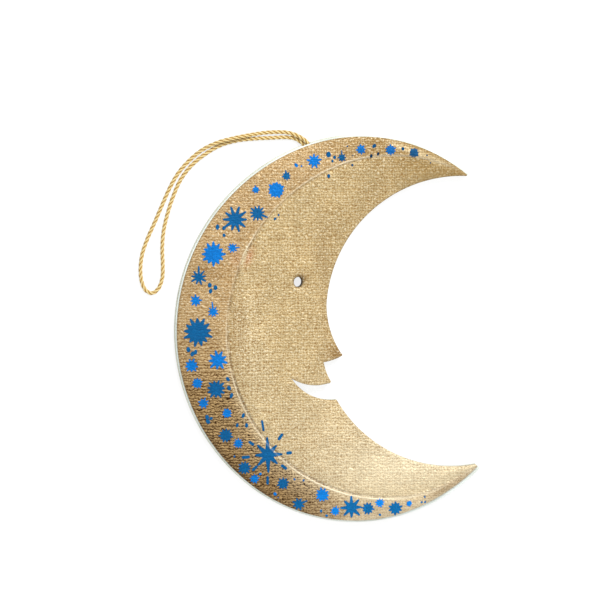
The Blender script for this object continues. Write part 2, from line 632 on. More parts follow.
def tip_cut(degrees, bay):
    """Where a cut square to the back curve meets the bay."""
    outer = BACK.point_at(degrees)
    inward = -heading(degrees)
    reach = crossing(outer, inward, lambda places: abs(places - bay) - BAY_RADIUS, TIP_REACH)
    return outer + inward * reach


def layer_outline(inset, step):
    """Outline of a layer, anticlockwise, which stands back from the boards' edge by an inset."""
    set_back = math.degrees(inset * END_INSET_SHARE / BACK_RADIUS)
    start, end = UPPER_TIP_ANGLE + set_back, LOWER_TIP_ANGLE - set_back
    path = BACK.trace(start, end, inset, step)
    if inset >= CLOTH_INSET:
        ways = way_round(np.array(path), BACK_CENTRE)
        path = [*(np.array(path) - heading(ways) * HORN_TRIM * grow(ways, *HORN_TRIM_SWEEP))]
    line_to(path, tip_cut(end, LOWER_BAY), step)
    for corner, radius, clockwise in (*PROFILE, (tip_cut(start, UPPER_BAY), BAY_RADIUS, True)):
        arc_to(path, corner, radius, clockwise, step)
    line_to(path, path[0], step)
    return np.array(path[:-1])


def eye_outline(growth, step):
    """The eye's oval, clockwise, wider than the punched hole by a growth."""
    across, upright = EYE_WIDTH / 2 + growth, EYE_HEIGHT / 2 + growth
    count = math.ceil(2 * math.pi * upright / step)
    turns = -2 * math.pi * np.arange(count) / count
    return EYE + across * np.cos(turns) + 1j * upright * np.sin(turns)


def eye_drop(cloth, places):
    """How far the card and the cloth are pressed down round the eye."""
    offset = places - EYE
    out = abs(offset.real / (EYE_WIDTH / 2) + 1j * offset.imag / (EYE_HEIGHT / 2)) - 1
    away = out * (EYE_WIDTH + EYE_HEIGHT) / 4
    return EYE_DEPTH * (1 - ease(away / (EYE_REACH * cloth.eye_dish))) ** 2


def stroke(places, start_x, start_y, end_x, end_y, width, depth):
    """Depth of a straight crease that fades out at both ends."""
    start, end = complex(start_x, start_y) * MM, complex(end_x, end_y) * MM
    local = (places - start) / (end - start)
    aside = abs(local.imag) * abs(end - start) / (width * MM)
    fade = np.sin(math.pi * np.clip(local.real, 0, 1))
    return depth * MM * fade * np.exp(-aside ** 2)


def inside(places, loop):
    """Whether places lie inside a closed outline."""
    found = np.zeros(places.shape, bool)
    for start, end in zip(loop, np.roll(loop, -1)):
        spans = (start.imag > places.imag) != (end.imag > places.imag)
        if spans.any():
            side = end - start
            cut = start.real + (places.imag[spans] - start.imag) * side.real / side.imag
            found[spans] ^= places.real[spans] < cut
    return found


class NearEdge:
    """Finds the distance from places to the nearest of some outlines."""

    def __init__(self, loops):
        points = np.concatenate([
            loop + (np.roll(loop, -1) - loop) * part for loop in loops for part in (0, 0.5)])
        self.tree = KDTree(len(points))
        for number, point in enumerate(points):
            self.tree.insert((point.real, point.imag, 0), number)
        self.tree.balance()

    def distance(self, places):
        """Distance from places to the nearest edge."""
        return np.array([self.tree.find((place.real, place.imag, 0))[2] for place in places])


def kept_inside(places, loops, margin):
    """The places that lie inside the first outline, outside the others and clear of all."""
    places = places[inside(places, loops[0])]
    for hole in loops[1:]:
        places = places[~inside(places, hole)]
    return places[NearEdge(loops).distance(places) > margin]


def corners_of_box(outline):
    """Lowest and highest corner of the box round an outline."""
    return complex(outline.real.min(), outline.imag.min()), complex(outline.real.max(), outline.imag.max())


def lattice_inside(loops, pitch, margin):
    """Places on an even grid inside outlines, clear of them by a margin."""
    low, high = corners_of_box(loops[0])
    across = np.arange(low.real, high.real, pitch)
    upright = np.arange(low.imag, high.imag, pitch)
    return kept_inside((across[:, None] + 1j * upright[None, :]).ravel(), loops, margin)


def inner_ring(loop, depth):
    """An outline moved to its left by a depth, without the places where it would fold."""
    onward = np.roll(loop, -1) - np.roll(loop, 1)
    ring = loop + 1j * onward / abs(onward) * depth
    return ring[NearEdge([loop]).distance(ring) > depth * FOLD_SHARE]


class Relief:
    """Height of the pressed card over its edge, drawn on rays from a hub in the open bay."""

    def __init__(self, cloth):
        self.cloth = cloth
        self.ways = np.linspace(*RELIEF_SWEEP, RELIEF_RAYS)
        inward = -heading(self.ways)
        hub = np.full(self.ways.shape, HUB)
        self.reach = crossing(hub, -inward, BACK.depth_of, 2 * BACK_RADIUS)
        outer = hub - inward * self.reach
        width = crossing(outer, inward, self.bay_depth, self.reach)
        self.width = np.maximum(width, NARROWEST_RELIEF)
        to_crest = crossing(outer, inward, CREST.depth_of, self.width)
        self.to_crest = np.clip(to_crest, self.width * CREST_SHARES[0], self.width * CREST_SHARES[1])
        self.edge = NearEdge([layer_outline(CLOTH_INSET, RELIEF_EDGE_STEP)])

    @staticmethod
    def bay_depth(places):
        """How far places lie outside the two arcs of the bay."""
        return np.minimum(abs(places - UPPER_BAY), abs(places - LOWER_BAY)) - BAY_RADIUS

    @staticmethod
    def swell(to_crest):
        """Share of the full relief, which the narrow horns don't have."""
        return np.sin(np.minimum(to_crest / FULL_RELIEF_WIDTH, 1) * math.pi / 2)

    def section(self, places):
        """Distance in from the back curve, width of the crescent and distance to the crest."""
        way = way_round(places, HUB)
        reach, width, to_crest = (
            np.interp(way, self.ways, values) for values in (self.reach, self.width, self.to_crest))
        return reach - abs(places - HUB), width, to_crest

    def past_crest(self, places):
        """How far inside the crest places lie."""
        distance, _, to_crest = self.section(places)
        return distance - to_crest

    def height(self, places):
        """Height of the relief."""
        cloth = self.cloth
        distance, width, to_crest = self.section(places)
        swell = self.swell(to_crest)
        rise = cloth.crest_rise * swell
        panel = width - to_crest
        groove = np.minimum(cloth.groove_width, panel * GROOVE_SHARE)
        shoulder = np.minimum(cloth.shoulder, panel * SHOULDER_SHARE)
        crown = rise - CROWN_DROP * swell
        bottom = rise - cloth.groove_drop * swell
        band = rise * (1 - (1 - np.clip(distance / to_crest, 0, 1)) ** BAND_ROUNDNESS)
        past = distance - to_crest
        fall = rise + (bottom - rise) * ease(past / groove * GROOVE_STEEPNESS)
        climbed = (past - groove) / shoulder
        first = FIRST_CLIMB_SHARE * ease(climbed * FIRST_CLIMB_STEEPNESS)
        climb = bottom + (crown - bottom) * (first + (1 - FIRST_CLIMB_SHARE) * ease(climbed))
        start = groove + shoulder
        along_panel = np.clip((past - start) / np.maximum(panel - start, MM), 0, PANEL_OVERRUN)
        face = crown - cloth.panel_fall * swell * along_panel ** 2
        roll = 1 - np.clip(self.edge.distance(places) / cloth.edge_roll, 0, 1)
        surface = np.select([past < 0, past < groove, past < start], [band, fall, climb], face)
        for crease in CREASES:
            surface = surface - stroke(places, *crease)
        return surface - cloth.edge_drop * roll ** 2

    def sheet(self, lift):
        """A rule for the height of a sheet pressed over the card, by its lift from the card's underside."""
        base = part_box("relief_card")[0].z + lift
        return lambda places: base + self.height(places) - eye_drop(self.cloth, places)

    def crest_rows(self, step):
        """Places along the crest and just beside it, which keep its ridge crisp."""
        ways = np.arange(self.ways[0], self.ways[-1], math.degrees(step / np.min(self.reach)))
        reach, to_crest = (np.interp(ways, self.ways, values) for values in (self.reach, self.to_crest))
        return np.concatenate([
            HUB + heading(ways) * (reach - to_crest - aside * MM) for aside in CREST_ROWS])

    def crest_mark(self, places):
        """How near places lie to the crest's ridge, times how pale it is there."""
        pale, _, _, out = crest_wear(places)
        near = hump(self.past_crest(places) + out * MM, 0, RIDGE_HALF_WIDTH)
        return self.swell(self.section(places)[2]) * near * pale

    def beside_crest(self, places):
        """How near places lie to the strip of the band just outside the crest."""
        return hump(self.past_crest(places), STRIP_PLACE, STRIP_HALF_WIDTH)

    def on_band(self, places, start=-0.5, width=1.5):
        """Share that is 1 outside the crest and 0 inside it."""
        return 1 - blend(self.past_crest(places), start, width)

    def patina(self, places):
        """Where the band is stained with bronze: its lower left."""
        way = way_round(places, BACK_CENTRE)
        stained = grow(way, *PATINA_IN) * (1 - grow(way, *PATINA_OUT))
        return self.on_band(places) * stained * (1 - PATINA_RUBBED * self.beside_crest(places))

    def rows(self, places):
        """How much the level threads stand out: most on the left of the band."""
        left = blend(-places.real, 20, 25)
        band = self.on_band(places, -1, 4)
        return ROWS + ROWS_LEFT * band * left + ROWS_PATINA * self.patina(places)


def crest_wear(places):
    """Wear of the crest abreast of places."""
    way = way_round(places, BACK_CENTRE)
    return [np.interp(way, CREST_WEAR[0], row) for row in CREST_WEAR[1:]]


def calm(places):
    """Where the weave shows less, as on the horns, or more, as inside the crest."""
    lower = blend(places.real, -10, 35) * blend(-places.imag, 44, 14)
    upper = blend(places.real, 25, 15) * blend(places.imag, 50, 10)
    return lower + CALM_UPPER * upper - ROUGH * patch(places, *ROUGH_PATCH)


def foil_shade(places):
    """How the foil's tone drifts: deeper towards the upper horn and lighter at the foot."""
    upper = blend(places.real, -20, 50) * blend(places.imag, 0, 40)
    foot = blend(-places.imag, 62, 12) * blend(places.real, -20, 20)
    return 1 - FOIL_DRIFT * upper + FOIL_DRIFT * foot


def ground_tint(cloth, relief, places):
    """Colour of the gilding: band or panel, bronze at the lower left, and the tinted patches."""
    distance, _, to_crest = relief.section(places)
    way = way_round(places, BACK_CENTRE)
    _, dark, pale, out = crest_wear(places)
    stain = relief.patina(places) * (1 - PATINA_FADE * np.clip(distance / to_crest, 0, 1))
    rim = hump(way, *RIM_STAIN) * hump(distance, CLOTH_INSET, RIM_WIDTH)
    foot = grow(way, *FOOT_SHEEN) * hump(distance, 0, FOOT_WIDTH)
    line = dark * hump(distance - to_crest + out * MM, LINE_PLACE, LINE_HALF_WIDTH)
    layers = [
        ("band", relief.on_band(places)), ("bronze", PATINA_STRENGTH * stain),
        ("soot", RIM_STRENGTH * rim), ("cream", FOOT_STRENGTH * foot),
        ("worn", pale * relief.beside_crest(places)), ("soot", line)]
    layers += [(name, strength * patch(places, *oval)) for name, *oval, strength in PATCHES]
    layers += [
        (name, np.clip(STREAK_GAIN * stroke(places, *line, 1) / MM, 0, 1) * strength)
        for name, *line, strength in STREAKS]
    tint = np.tile(np.array(cloth.panel), (len(places), 1))
    for name, amount in layers:
        tint += amount[:, None] * (np.array(getattr(cloth, name)) - tint)
    return tint


class Threads:
    """Places of the linen's threads: uneven widths and slow waves."""

    def __init__(self, cloth):
        random = np.random.default_rng(cloth.seed)
        pitch = cloth.thread_pitch
        count = 2 * math.ceil(WEAVE_REACH / pitch)
        self.index = np.arange(count) - count / 2
        widths = pitch * (1 + cloth.unevenness * random.standard_normal((2, count)).clip(-2, 2))
        self.places = np.cumsum(widths, axis=1) - widths.sum(axis=1, keepdims=True) / 2
        slow = np.arange(WAVES) < SLOW_WAVES
        along, aside = (
            random.uniform(*WAVE_VARIATION, (2, WAVES)) * np.where(slow, *sizes) * MM
            for sizes in (WAVE_LENGTHS, WAVE_SPANS))
        self.waves = [along, aside * random.choice([-1, 1], (2, WAVES))]
        self.phases = random.uniform(0, 2 * math.pi, (2, WAVES))
        self.pull = np.where(slow, *WAVE_PULLS) * MM

    def drift(self, places):
        """How far the weave is pulled off straight, across and up."""
        moved = []
        for axis, along, aside in ((0, places.imag, places.real), (1, places.real, places.imag)):
            total = np.zeros(places.shape)
            for wave in range(WAVES):
                turn = along / self.waves[0][axis, wave] + aside / self.waves[1][axis, wave]
                total += self.pull[wave] * np.sin(turn + self.phases[axis, wave])
            moved.append(total)
        return moved[0] + 1j * moved[1]

    def numbers(self, places):
        """Thread numbers at places: which upright thread, which level one."""
        drawn = places + self.drift(places)
        return np.stack([
            np.interp(drawn.real, self.places[0], self.index),
            np.interp(drawn.imag, self.places[1], self.index),
        ], axis=-1)

    def lattice(self, loops, margin):
        """Places at even steps of the thread numbers inside outlines, clear of them by a margin."""
        low, high = corners_of_box(loops[0])
        first = np.floor(self.numbers(np.array(low))) - SPARE_THREADS
        last = np.ceil(self.numbers(np.array(high))) + SPARE_THREADS
        drawn_x, drawn_y = (
            np.interp(np.arange(first[i], last[i], 1 / PER_THREAD), self.index, self.places[i])
            for i in (0, 1))
        grid = drawn_x[:, None] + 1j * drawn_y[None, :]
        places = grid
        for _ in range(DRIFT_ROUNDS):
            places = grid - self.drift(places)
        return kept_inside(places.ravel(), loops, margin)

    def mark(self, mesh, places):
        """Keeps the thread numbers at places on a mesh."""
        numbers = self.numbers(places)
        vectors = np.concatenate([numbers, np.zeros((len(numbers), 1))], axis=1)
        store(mesh, "threads", vectors, "FLOAT_VECTOR")


def fill(loops, inner):
    """Triangles that fill outlines, with inner places, all facing up."""
    coords = np.concatenate([*loops, inner])
    edges, first = [], 0
    for loop in loops:
        count = len(loop)
        edges.extend((first + i, first + (i + 1) % count) for i in range(count))
        first += count
    points = [Vector((place.real / MM, place.imag / MM)) for place in coords]
    _, _, faces, sources, _, _ = delaunay_2d_cdt(points, edges, [], CDT_INSIDE, CDT_EPSILON)
    triangles = np.array([[sources[corner][0] for corner in face] for face in faces])
    for hole in loops[1:]:
        triangles = triangles[~inside(coords[triangles].mean(axis=1), hole)]
    return triangles


def add_object(name, data):
    """A new object in the scene."""
    made = bpy.data.objects.new(name, data)
    bpy.context.scene.collection.objects.link(made)
    return made


def add_mesh(name, corners, edges, faces):
    """A new object with a mesh of its own."""
    mesh = bpy.data.meshes.new(name)
    mesh.from_pydata(corners, edges, faces)
    return add_object(name, mesh)


def layer_mesh(name, loops, top_inner, top, bottom_inner, bottom):
    """A closed sheet whose top and bottom follow two height rules and meet at upright walls."""
    ring = np.concatenate(loops)
    top_places = np.concatenate([ring, top_inner])
    bottom_places = np.concatenate([ring, bottom_inner])
    split = len(top_places)
    faces = [fill(loops, top_inner), fill(loops, bottom_inner)[:, ::-1] + split]
    first = 0
    for loop in loops:
        here = first + np.arange(len(loop))
        onward = first + (np.arange(len(loop)) + 1) % len(loop)
        faces.append(np.stack([here + split, onward + split, onward, here], axis=1))
        first += len(loop)
    places = np.concatenate([top_places, bottom_places])
    heights = np.concatenate([top(top_places), bottom(bottom_places)])
    corners = np.stack([places.real, places.imag, heights], axis=1).tolist()
    piece = add_mesh(name, corners, [], [face.tolist() for part in faces for face in part])
    piece.data.shade_smooth()
    piece.data.set_sharp_from_angle(angle=SHARP_ANGLE)
    return piece, places


def at_rim(places, count, amount):
    """An amount at the first few places and nothing at the rest."""
    return np.where(np.arange(len(places)) < count, amount, 0)


def store(mesh, name, values, kind="FLOAT"):
    """Keeps values on a mesh's corners under a name."""
    field = {"FLOAT": "value", "FLOAT_VECTOR": "vector", "FLOAT_COLOR": "color"}[kind]
    kept = mesh.attributes.new(name, kind, "POINT")
    kept.data.foreach_set(field, np.asarray(values, np.float32).ravel())


def plan_of(mesh):
    """Places of a mesh's corners in plan."""
    return np.array([complex(corner.co.x, corner.co.y) for corner in mesh.vertices])


def settle(piece, node=None):
    """Fixes a finished piece to the frame, in place of a CAD node."""
    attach(piece, BODY)
    if node:
        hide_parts(node)


def settled_mesh(piece):
    """Gives a piece the plain mesh that its modifiers make of it, and removes them."""
    bpy.context.view_layer.update()
    depsgraph = bpy.context.evaluated_depsgraph_get()
    mesh = bpy.data.meshes.new_from_object(
        piece.evaluated_get(depsgraph), preserve_all_data_layers=True, depsgraph=depsgraph)
    mesh.name = piece.name
    piece.modifiers.clear()
    piece.data = mesh


def grown(piece, tree, values):
    """Gives a piece the plain mesh that a geometry group makes of it."""
    modifier = piece.modifiers.new(tree.name, "NODES")
    modifier.node_group = tree
    for item in tree.interface.items_tree:
        if item.item_type == "SOCKET" and item.in_out == "INPUT" and item.name in values:
            modifier[item.identifier] = values[item.name]
    settled_mesh(piece)



class Wiring:
    """Adds nodes to a tree. An input that is a socket is linked, and any other is set."""

    def __init__(self, tree):
        self.tree = tree

    def add(self, kind, inputs=None, **settings):
        """One node, with its settings and inputs."""
        node = self.tree.nodes.new(kind)
        for name, value in settings.items():
            setattr(node, name, value)
        for key, value in (inputs or {}).items():
            self.feed(node.inputs[key], value)
        return node

    def output(self, kind, inputs=None, key=0, **settings):
        """One output of a new node."""
        return self.add(kind, inputs, **settings).outputs[key]

    def feed(self, socket, value):
        """Links or sets one input."""
        if isinstance(value, bpy.types.NodeSocket):
            self.tree.links.new(value, socket)
        else:
            socket.default_value = value

    def math(self, operation, *values, clamp=False):
        """A sum on one, two or three numbers."""
        inputs = dict(enumerate(values))
        return self.output("ShaderNodeMath", inputs, operation=operation, use_clamp=clamp)

    def times(self, value, *factors):
        """A product."""
        for factor in factors:
            value = self.math("MULTIPLY", value, factor)
        return value

    def less(self, first, second):
        """A difference."""
        return self.math("SUBTRACT", first, second)

    def scaled(self, value, factor, offset):
        """A number times a factor, plus an offset."""
        return self.math("MULTIPLY_ADD", value, factor, offset)

    def spread(self, value, low, high, to_low=0.0, to_high=1.0):
        """Maps a value smoothly from one range to another."""
        return self.output("ShaderNodeMapRange", {
            "Value": value, "From Min": low, "From Max": high, "To Min": to_low, "To Max": to_high,
        }, interpolation_type="SMOOTHSTEP")

    def vector(self, operation, *values, key=0):
        """A sum on one or two vectors."""
        inputs = dict(enumerate(values))
        return self.output("ShaderNodeVectorMath", inputs, key, operation=operation)

    def split(self, vector):
        """The three parts of a vector."""
        return self.add("ShaderNodeSeparateXYZ", {0: vector}).outputs

    def join(self, x, y, z=0.0):
        """A vector of three parts."""
        return self.output("ShaderNodeCombineXYZ", {0: x, 1: y, 2: z})

    def noise(self, vector, scale, detail=2.0, roughness=0.5):
        """Soft noise from 0 to 1."""
        return self.output("ShaderNodeTexNoise", {
            "Vector": vector, "Scale": scale, "Detail": detail, "Roughness": roughness})

    def pick(self, factor, first, second):
        """Two numbers mixed."""
        return self.output("ShaderNodeMix", {0: factor, 2: first, 3: second})

    def mix(self, factor, first, second, blend_type="MIX"):
        """Two colours mixed."""
        inputs = {0: factor, 6: first, 7: second}
        return self.output("ShaderNodeMix", inputs, 2, data_type="RGBA", blend_type=blend_type)

    def shaded(self, tint, light):
        """A colour times a grey."""
        return self.mix(1.0, tint, self.join(light, light, light), "MULTIPLY")

    def kept(self, name, key="Fac"):
        """A value kept on the mesh, for a shader."""
        return self.output("ShaderNodeAttribute", None, key, attribute_name=name)

    def named(self, name, data_type="FLOAT"):
        """A value kept on the mesh, for a geometry group."""
        return self.output("GeometryNodeInputNamedAttribute", {"Name": name}, data_type=data_type)

    def capture(self, geometry, **fields):
        """A geometry that carries values along, each given by its type and where it comes from."""
        node = self.add("GeometryNodeCaptureAttribute", {"Geometry": geometry})
        for name, (kind, value) in fields.items():
            node.capture_items.new(kind, name)
            self.feed(node.inputs[name], value)
        return node.outputs

    def mark(self, geometry, name, value, data_type):
        """A geometry with a value stored on its corners."""
        return self.output("GeometryNodeStoreNamedAttribute", {
            "Geometry": geometry, "Name": name, "Value": value}, data_type=data_type, domain="POINT")

    def dressed(self, geometry, material):
        """The end of a geometry group: real geometry that wears its material."""
        real = self.output("GeometryNodeRealizeInstances", {"Geometry": geometry})
        inputs = {"Geometry": real, "Material": material}
        return {"Geometry": self.output("GeometryNodeSetMaterial", inputs)}


def node_group(name, kind, inputs, outputs):
    """Turns a function that wires a node group into one that gives the group, made only once."""
    def decorate(wire):
        @functools.wraps(wire)
        def group():
            if name in bpy.data.node_groups:
                return bpy.data.node_groups[name]
            tree = bpy.data.node_groups.new(name, kind)
            for label, value in inputs.items():
                word = isinstance(value, str)
                socket_type = "NodeSocket" + (value if word else type(value).__name__.title())
                socket = tree.interface.new_socket(label, in_out="INPUT", socket_type=socket_type)
                if not word:
                    socket.default_value = value
            for label in outputs:
                socket_type = "NodeSocketGeometry" if label == "Geometry" else "NodeSocketFloat"
                tree.interface.new_socket(label, in_out="OUTPUT", socket_type=socket_type)
            wiring = Wiring(tree)
            source = wiring.add("NodeGroupInput").outputs
            target = wiring.add("NodeGroupOutput").inputs
            for label, value in wire(wiring, source).items():
                wiring.feed(target[label], value)
            return tree
        return group
    return decorate


def weave(wiring, threads, rows, slub):
    """Plain weave from thread numbers: height from 0 in the gaps to 1 on the crowns, and tones."""
    ways = list(wiring.split(threads))[:2]
    spot = [wiring.times(way, WANDER_SCALE) for way in ways]
    wander = [wiring.less(wiring.noise(wiring.join(*spot, place), 1.0, 1.0), 0.5) for place in (4.0, 8.0)]
    ways = [wiring.scaled(moved, WANDER, way) for moved, way in zip(wander, ways)]
    numbers = [wiring.math("ROUND", way) for way in ways]
    sides = [
        wiring.math("COSINE", wiring.times(wiring.less(way, number), math.pi))
        for way, number in zip(ways, numbers)]
    lump = wiring.output("ShaderNodeTexWhiteNoise", {"Vector": wiring.join(*numbers)})
    parity = wiring.math("FLOORED_MODULO", wiring.math("ADD", *numbers), 2.0)
    over = wiring.times(
        wiring.scaled(parity, -2 * OVER_RISE, OVER_RISE), wiring.scaled(rows, -ROWS_FLATTEN, 1.0),
        wiring.scaled(lump, *LUMP_RISE))
    heights, tones = [], []
    for axis, sign in ((0, 1.0), (1, -1.0)):
        strand = wiring.times(numbers[axis], NOISE_STRIDE)
        slow, quick = (
            wiring.noise(wiring.join(strand, wiring.times(ways[1 - axis], pace), axis * 9.0), 1.0)
            for pace in NOISE_PACES)
        tone = wiring.scaled(quick, 0.5, wiring.times(slow, 0.5))
        thick = wiring.scaled(wiring.less(tone, 0.5), slub, THICKNESS - WARP_THINNER * sign)
        thick = wiring.scaled(rows, -ROWS_THINNER * sign, thick)
        bend = wiring.times(over, sign, sides[1 - axis])
        heights.append(wiring.scaled(sides[axis], thick, bend))
        tones.append(tone)
    warp_over = wiring.math("GREATER_THAN", *heights)
    tone = wiring.pick(warp_over, tones[1], tones[0])
    return wiring.math("MAXIMUM", *heights), warp_over, tone, lump


@node_group("Linen Weave", "ShaderNodeTree", {
    "Threads": "Vector", "Rows": 0.0, "Slub": 0.9, "Fibre": 0.7,
}, ["Height", "Tone", "Gap", "Lump", "Fleck"])
def linen_group(wiring, source):
    """Shader group of the linen weave, which cloth and foil share."""
    height, warp_over, tone, lump = weave(wiring, source["Threads"], source["Rows"], source["Slub"])
    across, upright, _ = wiring.split(source["Threads"])
    level, standing = (
        wiring.noise(wiring.join(wiring.times(across, fine), wiring.times(upright, long), place), 1.0)
        for fine, long, place in (LEVEL_FIBRE, UPRIGHT_FIBRE))
    fibre = wiring.pick(warp_over, level, standing)
    rough = wiring.times(wiring.less(fibre, 0.5), source["Fibre"])
    return {
        "Height": wiring.math("ADD", height, rough), "Tone": tone,
        "Gap": wiring.spread(height, 0.55, 0.15), "Lump": lump, "Fleck": fibre}


@node_group("Fibre", "ShaderNodeTree", {
    "Vector": "Vector", "Scale": 900.0, "Patches": 60.0}, ["Mask", "Height"])
def fibre_group(wiring, source):
    """Shader group of paper and yarn fibre: a soft mask and a fine height."""
    fine = wiring.noise(source["Vector"], source["Scale"], 4.0, 0.65)
    broad = wiring.noise(source["Vector"], source["Patches"])
    return {"Mask": wiring.scaled(wiring.less(fine, 0.5), 0.5, broad), "Height": fine}


def cleared(owner):
    """The emptied node tree of a material or a world, ready to be wired."""
    owner.use_nodes = True
    owner.node_tree.nodes.clear()
    return Wiring(owner.node_tree)


def finish(wiring, height, strength, depth, inputs):
    """The shader of a material, with a bump of a depth in millimetres, and its output."""
    bump = wiring.output("ShaderNodeBump", {
        "Strength": strength, "Distance": depth * MM, "Height": height})
    shader = wiring.output("ShaderNodeBsdfPrincipled", {**inputs, "Normal": bump})
    wiring.add("ShaderNodeOutputMaterial", {"Surface": shader})


def darker(tint, shares):
    """A colour with its red, green and blue cut to shares."""
    return (*(part * kept for part, kept in zip(tint, shares)), 1)


def linen_node(wiring):
    """The linen group, fed with the threads kept on the mesh."""
    node = wiring.add("ShaderNodeGroup", node_tree=linen_group())
    wiring.feed(node.inputs["Threads"], wiring.kept("threads", "Vector"))
    wiring.feed(node.inputs["Rows"], wiring.kept("rows"))
    return node.outputs


def cloth_material(cloth):
    """Gold-coated linen: brown gaps, pale crowns, a pinker band and a yellower panel."""
    material = bpy.data.materials.new("gold_linen")
    wiring = cleared(material)
    linen = linen_node(wiring)
    height, fleck = linen["Height"], linen["Fleck"]
    patina, calmed, crest = (wiring.kept(name) for name in ("patina", "calm", "crest"))
    place = wiring.output("ShaderNodeTexCoord", key="Object")
    blotch = wiring.spread(wiring.noise(place, BLOTCH_SCALE, 3.0), 0.35, 0.7, 0.92, 1.05)
    tone = wiring.times(wiring.spread(linen["Tone"], 0.35, 0.65, 0.91, 1.07), blotch)
    toned = wiring.shaded(wiring.kept("ground", "Color"), tone)
    bright = wiring.times(
        wiring.spread(height, 0.4, 1.05), wiring.spread(fleck, 0.4, 0.64, 0.05, 0.5),
        wiring.scaled(calmed, -0.6, 1.0))
    crowned = wiring.mix(bright, toned, wiring.mix(patina, cloth.crown, cloth.tan))
    sunk = wiring.math(
        "MAXIMUM", wiring.times(linen["Gap"], 0.75), wiring.spread(fleck, 0.47, 0.3, 0.0, 0.75))
    deep = wiring.times(sunk, wiring.spread(linen["Lump"], 0.0, 1.0, 1.0, 0.6))
    deep = wiring.math("MULTIPLY", deep, wiring.scaled(patina, 0.7, 1.0), clamp=True)
    deep = wiring.times(deep, wiring.scaled(calmed, -0.4, 1.0))
    woven = wiring.mix(deep, crowned, wiring.mix(patina, cloth.gap, cloth.soot))
    finish(wiring, height, 0.6, 0.14, {
        "Base Color": wiring.mix(wiring.times(crest, 0.7), woven, cloth.crown),
        "Metallic": 0.45, "Specular IOR Level": 0.15,
        "Roughness": wiring.spread(height, 0.2, 1.1, 0.7, 0.54)})
    return material


def foil_material(name, blue, brighter=None):
    """Pressed blue foil that lets the weave through. With a second blue, each speck has its own."""
    material = bpy.data.materials.new(name)
    wiring = cleared(material)
    linen = linen_node(wiring)
    if brighter is not None:
        shine = wiring.kept("shine")
        sunk = wiring.mix(wiring.spread(shine, -1.0, 0.0, 1.0, 0.0), blue, darker(blue, DEEPER_BLUE))
        blue = wiring.mix(wiring.spread(shine, 0.0, 1.0), sunk, brighter)
    light = wiring.times(
        wiring.spread(linen["Tone"], 0.3, 0.7, 0.86, 1.1),
        wiring.spread(linen["Fleck"], 0.35, 0.65, 0.84, 1.14), wiring.kept("shade"))
    worn = wiring.times(wiring.kept("crest"), 0.3)
    base = wiring.mix(worn, wiring.shaded(blue, light), WORN_FOIL)
    finish(wiring, linen["Height"], 0.4, 0.08, {
        "Base Color": wiring.mix(wiring.times(linen["Gap"], 0.3), base, SUNK_FOIL),
        "Metallic": 0.3, "Roughness": 0.5, "Specular IOR Level": 0.2})
    return material


def paper_material(name, tint, scale, depth):
    """Pressed paper fibre in one tint, scorched where the eye was punched."""
    material = bpy.data.materials.new(name)
    wiring = cleared(material)
    place = wiring.output("ShaderNodeTexCoord", key="Object")
    fibre = wiring.add("ShaderNodeGroup", {"Vector": place, "Scale": scale}, node_tree=fibre_group())
    mottled = wiring.spread(fibre.outputs["Mask"], 0.35, 0.75)
    paper = wiring.mix(mottled, tint, darker(tint, DARKER_PAPER))
    across, upright, _ = wiring.split(place)
    eye = (EYE.real, EYE.imag, 0.0)
    from_eye = wiring.vector("DISTANCE", wiring.join(across, upright), eye, key="Value")
    scorched = wiring.spread(from_eye, *SCORCH_WIDTHS, 0.0, SCORCH_STRENGTH)
    finish(wiring, fibre.outputs["Height"], 0.6, depth, {
        "Base Color": wiring.mix(scorched, paper, SCORCH), "Roughness": 0.85})
    return material


def cord_material(cord):
    """Shiny yarn, pale on top of the strands and ochre between them."""
    material = bpy.data.materials.new("twisted_yarn")
    wiring = cleared(material)
    yarn = wiring.kept("yarn", "Vector")
    along, around, _ = wiring.split(yarn)
    twist = wiring.scaled(around, -YARNS, wiring.times(along, YARN_TURNS))
    ridges = wiring.math("SINE", wiring.times(twist, 2 * math.pi))
    fibre = wiring.output("ShaderNodeGroup", {
        "Vector": yarn, "Scale": YARN_FIBRE}, "Height", node_tree=fibre_group())
    finish(wiring, wiring.scaled(ridges, 0.3, fibre), 0.5, 0.05, {
        "Base Color": wiring.mix(wiring.spread(wiring.kept("crown"), 0.7, 0.98), cord.deep, cord.pale),
        "Roughness": 0.5, "Sheen Weight": 0.3})
    return material


